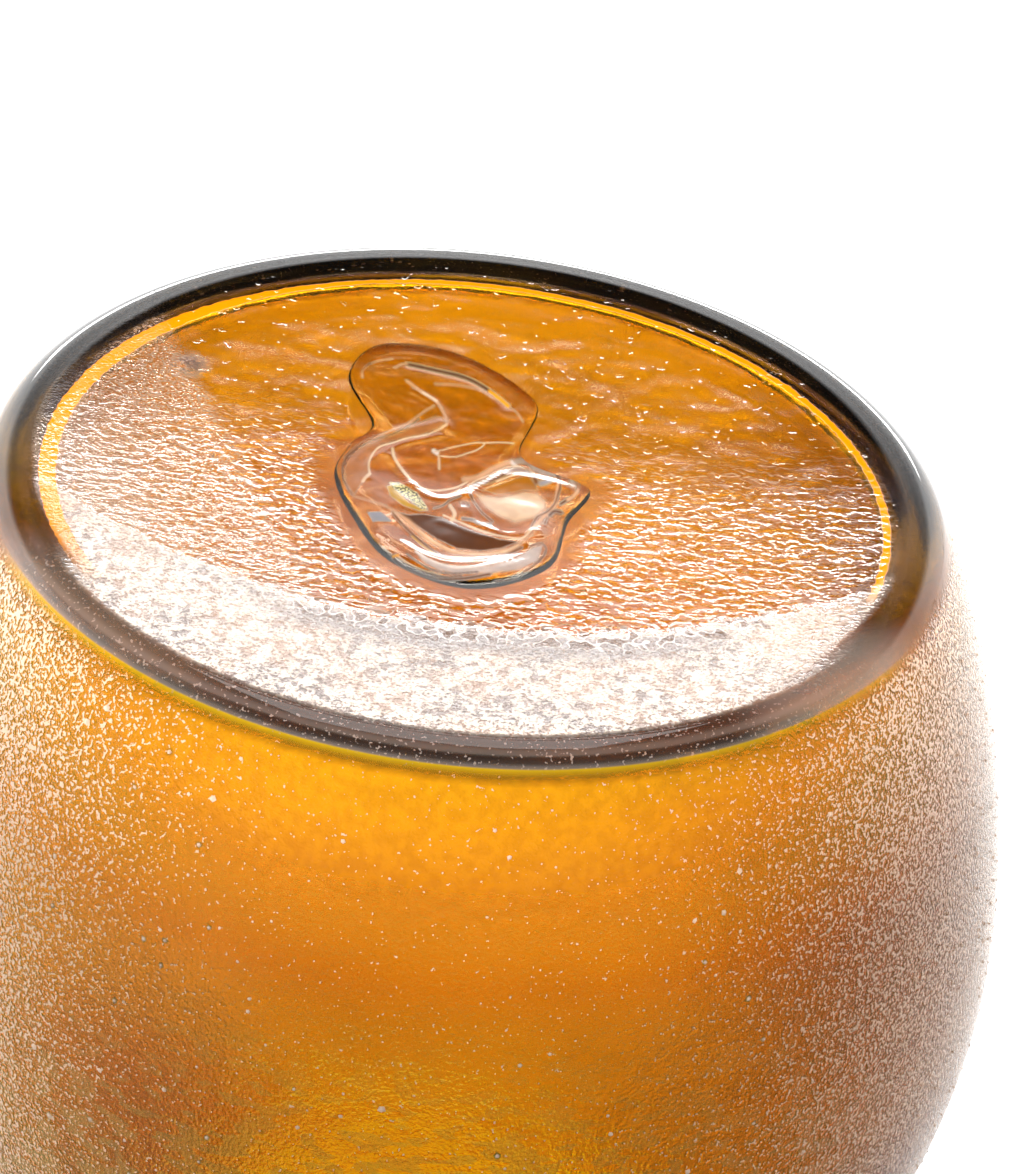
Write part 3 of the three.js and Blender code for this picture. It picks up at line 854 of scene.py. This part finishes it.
# Creases and lit edges: tone, cover, half width and path. SLIM_TONES are drawn narrower by SLIM.
SLIM_TONES = ("pale", "salmon")
SLIM = 0.7
SCAR_CREASES = [
    ("salmon", 0.38, 0.2, [(11.5, 24.2), (13, 23.4), (14.3, 22.2), (14.9, 20.5), (14.7, 19.1)]),
    ("salmon", 0.45, 0.2, [(11, 22.2), (10.3, 23.1), (9.7, 23.6)]),
    ("dark", 0.97, 0.24, [(9.4, 23.4), (6.9, 23), (5.3, 22.7), (3.2, 22.3), (1.6, 21.6), (-0,
    20.4), (-1.3, 19.1)]),
    ("glow", 0.97, 0.26, [(-0.9, 19.4), (-2.3, 17.9), (-3.3, 16.6)]),
    ("salmon", 0.34, 0.25, [(5.8, 19.6), (2.7, 20), (0.3, 19.5), (-1.3, 18.2)]),
    ("salmon", 0.34, 0.2, [(-3.5, 16.3), (-4.4, 15.3), (-5.2, 13.4)]),
    ("salmon", 0.42, 0.28, [(9.3, 19.5), (7.8, 17.9), (6.4, 16.7), (5.3, 15.5), (4.6, 13.9), (3.9,
    11.8), (3.9, 10.7)]),
    ("pale", 0.6, 0.2, [(7.2, 17.3), (6.2, 16.5), (5.4, 15.8)]),
    ("salmon", 0.45, 0.2, [(5.6, 14.6), (6.5, 13.3), (7.4, 11.7), (8.5, 9.8), (10.1, 8), (11.7,
    6.5), (13.2, 4.8), (14.4, 2.5), (15, 0.8)]),
    ("brown", 0.75, 0.1, [(7.1, 11.4), (8.3, 9.3), (9.8, 7.3), (11.6, 5.9), (13.1, 4.2), (14.3, 2),
    (14.8, 0.7), (15, -1.2), (14.7, -3.7), (14, -5.8), (13.3, -7.2)]),
    ("pale", 0.64, 0.16, [(3.8, 10.6), (5, 9), (6.4, 7.7), (8.1, 6.7), (9.6, 5.4), (11.2, 4), (11.9,
    2), (12.1, -0.2), (11.8, -2.3)]),
    ("pale", 0.56, 0.26, [(11.8, -2.3), (12.2, -3.3), (12.4, -4)]),
    ("pale", 0.64, 0.24, [(9.7, 3.8), (9.3, 1.9), (8.3, -0.3), (7.2, -2.2)]),
    ("pale", 0.64, 0.17, [(7.2, -2.2), (5.6, -3.9), (4.3, -4.2), (3, -3.7), (1.8, -2.9), (0.6,
    -1.4)]),
    ("salmon", 0.56, 0.17, [(6.3, -4.1), (4.7, -5.2), (3.3, -5.3), (2.2, -4.3), (1.2, -3)]),
    ("white", 0.68, 0.26, [(4.9, 4.6), (4.5, 4.2)]),
    ("pale", 0.6, 0.13, [(4.4, 3.6), (2.4, 3.8), (1, 4.9), (-0.1, 5.9), (-0.9, 7.4), (-0, 7.5),
    (1.8, 6.5), (3.3, 5.5), (4.7, 4.4)]),
    ("pale", 0.49, 0.22, [(4.2, 3.1), (4, 0.8)]),
    ("pale", 0.64, 0.13, [(-0.8, 7.6), (-2.6, 8.1), (-4.3, 8.3)]),
    ("salmon", 0.56, 0.42, [(1, -0.9), (-0.4, -0.2), (-2, 1.9), (-3.6, 3.7), (-4.7, 4.5)]),
    ("white", 0.68, 0.4, [(-4.6, 4.2), (-5.4, 4.7), (-6.3, 4.6), (-7.1, 3.4), (-8.3, 2.7), (-9.4,
    2.6)]),
    ("white", 0.64, 0.35, [(-7, 5.8), (-7.1, 4.4)]),
    ("brown", 0.85, 0.3, [(0.1, -2.7), (-0.5, -1.7), (-1.8, -0.9), (-3, 0.4), (-4.2, 2), (-5.3,
    2.6), (-6.7, 1.9), (-7.3, 0.2)]),
    ("pale", 0.64, 0.16, [(-2.8, -0.7), (-4.1, 0.6), (-5, 1.3), (-5.9, 1.5)]),
    ("pale", 0.6, 0.13, [(0.5, -2.1), (-0.5, -0.7), (-2.1, 0.9), (-3.6, 2.7), (-4.9, 3.4), (-6.2,
    3.1), (-7.2, 2)]),
    ("salmon", 0.52, 0.3, [(-8.2, 6.4), (-9.4, 4.1), (-9.9, 1.4), (-9.8, -2.1), (-9.6, -4.6), (-8.6,
    -6.9), (-7.6, -9.5), (-6.6, -11.4)]),
    ("brown", 0.7, 0.13, [(-9.3, 3.4), (-10.1, 0.7), (-9.9, -2.1), (-9.6, -4.1), (-8.8, -6.1),
    (-7.7, -7.7), (-7.1, -9.9)]),
    ("grey", 0.8, 0.3, [(-7.9, -0), (-8.6, 0.5), (-9.1, 1.1)]),
    ("dark", 0.85, 0.2, [(-10.3, -4), (-11.2, -2.6)]),
    ("dark", 0.85, 0.22, [(-9.1, -6.8), (-9.6, -5.8), (-10.4, -5.8)]),
    ("brown", 0.8, 0.16, [(-8.6, -8.8), (-8.8, -7.7)]),
    ("dark", 0.85, 0.2, [(-12.1, -0.8), (-12.1, 0)]),
    ("white", 0.71, 0.34, [(-11.4, 1.1), (-11.6, 0.7)]),
    ("salmon", 0.52, 0.24, [(-10.3, 4), (-11.1, 3), (-11.9, 1.8), (-12.3, 0.1), (-11.8, -1.8),
    (-11.1, -2.9)]),
    ("brown", 0.6, 0.3, [(0.8, -6.5), (0.3, -6.7)]),
    ("darkgrey", 0.85, 0.2, [(0.6, -9.8), (-0.5, -9.9), (-1.4, -10.5), (-2.5, -10.3)]),
    ("brown", 0.75, 0.16, [(0.2, -4.1), (-0.5, -6), (-1.4, -7.9), (-2.7, -9.6)]),
    ("pale", 0.6, 0.3, [(2.2, -7.3), (1.6, -8.9), (1.8, -10.4)]),
    ("pale", 0.64, 0.16, [(2.8, -9.5), (0.7, -10.7), (-1.5, -11.9), (-3.6, -12.6), (-6, -12.7),
    (-7.1, -10.9)]),
    ("dark", 0.85, 0.12, [(4, -8.3), (3.1, -7.5), (2.3, -6.1), (1.2, -4.8)]),
    ("pale", 0.6, 0.13, [(5.2, -13.2), (3.3, -15.2), (0.7, -16.6), (-1.7, -16.5), (-4, -15.6),
    (-5.8, -13.9)]),
    ("brown", 0.7, 0.14, [(8.5, -10.2), (6.7, -12.9), (4.7, -15.5), (2.8, -17.4), (0.7, -18.1),
    (-1.8, -17.8), (-4.2, -16.3), (-6.2, -14.3)]),
    ("gold", 0.7, 0.12, [(6, -14.4), (4.1, -16.7), (2.1, -18.2), (-0.1, -18.6), (-2.1, -18)]),
    ("dark", 0.9, 0.14, [(7.7, -19.4), (6.4, -20.9), (4.9, -21.8), (3.5, -22.3), (2.1, -22.5),
    (-0.6, -21.8), (-3, -20.6)]),
    ("dark", 0.8, 0.09, [(7.3, -18.8), (5.8, -20.3), (3.9, -21.4), (2.2, -22), (0.1, -21.5)]),
    ("darkgrey", 0.8, 0.09, [(6.2, -18.4), (4.7, -19.9), (2.9, -21.1), (0.8, -21.2), (-1.6,
    -20.5)]),
    ("pale", 0.64, 0.09, [(7.5, -18.5), (6.1, -19.9), (4.3, -21.1), (2.2, -21.6)]),
    ("white", 0.64, 0.13, [(5.3, -17.6), (3.7, -19.1), (1.9, -19.9), (0.2, -19.9), (-2.2, -19),
    (-4.2, -17.6)]),
    ("glow", 0.6, 0.14, [(7.7, -19), (7.1, -18.6)]),
    ("brown", 0.8, 0.11, [(-7.2, -13.9), (-8.4, -13.1), (-8.9, -14), (-8.6, -15.7), (-7.6, -17.8),
    (-6.6, -19.2)]),
    ("dark", 0.75, 0.09, [(-3.7, -21.6), (-5.1, -21.2), (-6.3, -20.5)]),
]
SCAR_FLECK = [(9.5, -3.6), (8.3, -3.4), (6.1, -5.2), (4.6, -8.6), (5.4, -8.9), (7, -6.9), (8.8, -5)]
# How much shorter a length along Y looks than one along X, from the side that the tones are drawn for.
ALONG_Y = 0.53


def spline(path, steps, closed=False):
    """Points along a Catmull-Rom line through a path."""
    path = [np.array(p, float) for p in path]
    count = len(path)
    spans = count if closed else count - 1
    out = []
    for i in range(spans):
        b, c = path[i], path[(i + 1) % count]
        a = path[i - 1] if closed or i > 0 else 2 * b - c
        d = path[(i + 2) % count] if closed or i + 2 < count else 2 * c - b
        for k in range(steps):
            t = k / steps
            square = (2 * a - 5 * b + 4 * c - d) * t * t
            cube = (3 * b - 3 * c + d - a) * t**3
            out.append(0.5 * (2 * b + (c - a) * t + square + cube))
    if not closed:
        out.append(path[-1])
    return np.array(out)


def nearest(places, line):
    """Distance from each place to the nearest of a line's points."""
    dx = places[:, None, 0] - line[None, :, 0]
    dy = places[:, None, 1] - line[None, :, 1]
    return np.min(np.hypot(dx, dy), axis=1)


def away_from(places, line):
    """Distance from each place to a line of close points, as it looks from the side."""
    dx = places[:, None, 0] - line[None, :, 0]
    dy = (places[:, None, 1] - line[None, :, 1]) * ALONG_Y
    return np.sqrt(np.min(dx * dx + dy * dy, axis=1))


def within(places, corners):
    """Whether each place lies inside a closed outline."""
    px, py = places.T
    inside_it = np.zeros(len(px), bool)
    for (x1, y1), (x2, y2) in zip(corners, corners[1:] + corners[:1]):
        if y1 != y2:
            inside_it ^= ((y1 > py) != (y2 > py)) & (px < x1 + (py - y1) / (y2 - y1) * (x2 - x1))
    return inside_it


def patch_share(places, corners, soft):
    """1 in a patch, 0 outside it, and soft between the two."""
    edge = np.array(spread(corners + corners[:1], LINE_STEP))
    side = np.where(within(places, corners), 1.0, -1.0)
    return ramp(side * away_from(places, edge), -soft, soft)


def scar_tones(places):
    """Tone, cover and fleck at each place on the scar's face."""
    upper = ramp(places[:, 1:], -12, 4)
    tone = np.array(SCAR_TONES["clear"]) * (1 - upper) + np.array(SCAR_TONES["honey"]) * upper
    cover = np.zeros(len(places))
    strokes = []
    for name, amount, soft, corners in SCAR_FOLDS:
        strokes.append((name, amount, patch_share(places, corners, soft)))
    for name, amount, width, path in SCAR_CREASES:
        width *= SLIM if name in SLIM_TONES else 1.0
        line = np.array(spread(spline(path, 8), LINE_STEP))
        strokes.append((name, amount, ramp(away_from(places, line), 1.8 * width, 0.2 * width)))
    for name, amount, share in strokes:
        share = share[:, None]
        tone = tone * (1 - share) + np.array(SCAR_TONES[name]) * share
        cover = cover * (1 - share[:, 0]) + amount * share[:, 0]
    fleck = patch_share(places, SCAR_FLECK, 0.12)
    return tone, np.maximum(cover, 0.9 * fleck), fleck


def make_scar():
    plan = np.vstack([spline(SCAR_PLAN, 24, True), [SCAR_PLAN[0]]])
    plan = np.array(spread(plan, SCAR_PLAN_STEP)[:-1])
    sides, rings = len(plan), SCAR_RINGS
    centre = np.array(SCAR_CENTRE)
    reach = np.hypot(*(plan - centre).T)
    shares = (np.arange(rings) + 1) / rings
    places = centre + (plan - centre)[None, :, :] * shares[:, None, None]
    places = np.concatenate([centre[None], places.reshape(-1, 2)])
    to_edge = np.concatenate([[10.0], (reach[None, :] * (1 - shares[:, None])).ravel()])
    relief = 0.10 + 0.22 * ramp(-places[:, 1], 1, 9)
    for height, width, path in SCAR_RIDGES:
        line = spline(path, 14)
        away = nearest(places, line)
        relief += RIDGE_UNIT * height * np.exp(-((away / (RIDGE_NARROWING * width)) ** 2))
    swell = wavy(*places.T, 0.22, 3.1)
    ripple = wavy(*places.T, 0.7, 9.4)
    relief += 0.04 * swell + 0.002 * ripple
    share = np.clip(to_edge / (4.5 + 4.0 * ramp(places[:, 1], 4, 16)), 0, 1)
    share = share * share * (3 - 2 * share)
    under = hollow_at(np.hypot(*places.T))
    thick = SCAR_EDGE + (relief - SCAR_EDGE) * share
    thick = np.minimum(thick, np.maximum(under - FIT - SCAR_TABLE_CLEARANCE, SCAR_EDGE))
    roof = under + ROOF_LIFT + ROOF_RISE * share
    face = under - thick
    around = np.arange(sides)
    after = (around + 1) % sides
    # The roof keeps only some of the rings, so that the mesh stays under 200,000 faces. The coarse last step
    # towards the edge shows from below, as a dark line round the plate.
    kept_rings = np.arange(ROOF_RING_STEP - 1, rings, ROOF_RING_STEP)
    kept = np.concatenate([[0], (1 + kept_rings[:, None] * sides + around).ravel()])
    points = np.concatenate([np.column_stack([places, face]), np.column_stack([places, roof])[kept]])
    half = len(places)
    faces = []
    for flip, first, count in ((True, 0, rings), (False, half, len(kept_rings))):
        middle = [(first, int(a), int(b)) for a, b in zip(first + 1 + around, first + 1 + after)]
        faces += [f[::-1] for f in middle] if flip else middle
        for ring in range(count - 1):
            a, b = first + 1 + ring * sides, first + 1 + (ring + 1) * sides
            quad = np.stack([a + around, b + around, b + after, a + after], axis=-1)
            faces += (quad[:, ::-1] if flip else quad).tolist()
    edge = 1 + (rings - 1) * sides
    top = half + 1 + (len(kept_rings) - 1) * sides
    faces += np.stack([edge + around, edge + after, top + after, top + around], axis=-1).tolist()
    made = piece("punty_scar_glass", points, faces)
    tone, cover, fleck = scar_tones(places)
    none = np.zeros(len(kept))
    paint(made, cover=np.concatenate([cover, none]), fleck=np.concatenate([fleck, none]))
    layer = made.data.attributes.new("tone", "FLOAT_COLOR", "POINT")
    clear = np.tile(np.array(SCAR_TONES["clear"]), (len(kept), 1))
    both = np.column_stack([np.concatenate([tone, clear]), np.ones(half + len(kept))])
    layer.data.foreach_set("color", both.ravel().astype(np.float32))
    made.data.materials.append(scar_material())
    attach(made, "root")
    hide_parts("punty_scar")


GRAIN_TRIES = 9000
GRAIN_SIDES = 5
SMALLEST_GRAIN = 0.10
GRAIN_SPREAD = 0.36


def make_coat():
    """Grains of crushed glass that stand proud of the skin, from above the heel to below the lip."""
    pick = random.Random(7)
    points, faces = [], []
    sides = GRAIN_SIDES
    for _ in range(GRAIN_TRIES):
        z = HEEL_RISE + 2.0 + (HEIGHT - 9.0 - HEEL_RISE) * pick.random()
        radius, below, above = outline_at(z)[0], outline_at(z - 0.5)[0], outline_at(z + 0.5)[0]
        angle = pick.random() * 2 * math.pi
        thin = max(-math.sin(angle), 0.0) ** 2
        if pick.random() < 0.75 * thin:
            continue
        lean = math.atan2(above - below, 1.0)
        out = Vector((math.cos(angle) * math.cos(lean), math.sin(angle) * math.cos(lean), -math.sin(lean)))
        across = Vector((-math.sin(angle), math.cos(angle), 0))
        up = out.cross(across)
        size = SMALLEST_GRAIN + GRAIN_SPREAD * pick.random() ** 4
        proud = size * (0.35 + 0.35 * pick.random())
        seat = Vector((radius * math.cos(angle), radius * math.sin(angle), z)) - out * (proud + 0.02)
        first = len(points)
        spin = pick.random() * math.pi
        for k in range(sides):
            a = spin + 2 * math.pi * k / sides
            reach = size * (0.7 + 0.5 * pick.random())
            points.append(seat + (across * math.cos(a) + up * math.sin(a)) * reach)
        tip = first + sides
        points.append(seat + out * proud)
        points.append(seat - out * proud * 0.6)
        for k in range(sides):
            a, b = first + k, first + (k + 1) % sides
            faces.append((a, b, tip))
            faces.append((b, a, tip + 1))
    made = piece("frit_coat_grains", [tuple(p) for p in points], faces, False)
    made.data.materials.append(grain_material())
    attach(made, "root")
    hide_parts("frit_coat")


def grain_material():
    """Opaque, pale, slightly rough grains of glass."""
    mat = bpy.data.materials.new("frosted_glass")
    t = Tree(mat)
    where = t.place()[0]
    tone = t.noise(where, 1.1, 0.0)
    colour = t.mixed(tone, (0.68, 0.45, 0.31, 1), (0.92, 0.70, 0.54, 1))
    rough = t.between(tone, 0.3, 0.7, 0.15, 0.4)
    shader = principled(
        t, Base_Color=colour, Roughness=rough, IOR=1.5, Normal=t.bump(tone, 0.0002)
    )
    t.surface(shader)
    return mat


bpy.context.scene.view_settings.view_transform = "Standard"
scene_camera()
studio()
lamp("glare_panel", (0.0, 0.75, -0.24), (0, 0, 0), (0.7, 0.11), 3.6)
lamp("base_panel", (0.0, 0.12, -0.45), (0, 0, 0), (0.3, 0.3), 1.0)
lamp("left_panel", (0.5, -0.4, -0.1), (0, 0, 0.05), (0.35, 0.35), 7.0, False)
lamp("right_panel", (-0.55, -0.25, -0.1), (0, 0, 0.05), (0.35, 0.35), 4.0, False)
make_casing()
make_amber()
make_coat()
make_scar()
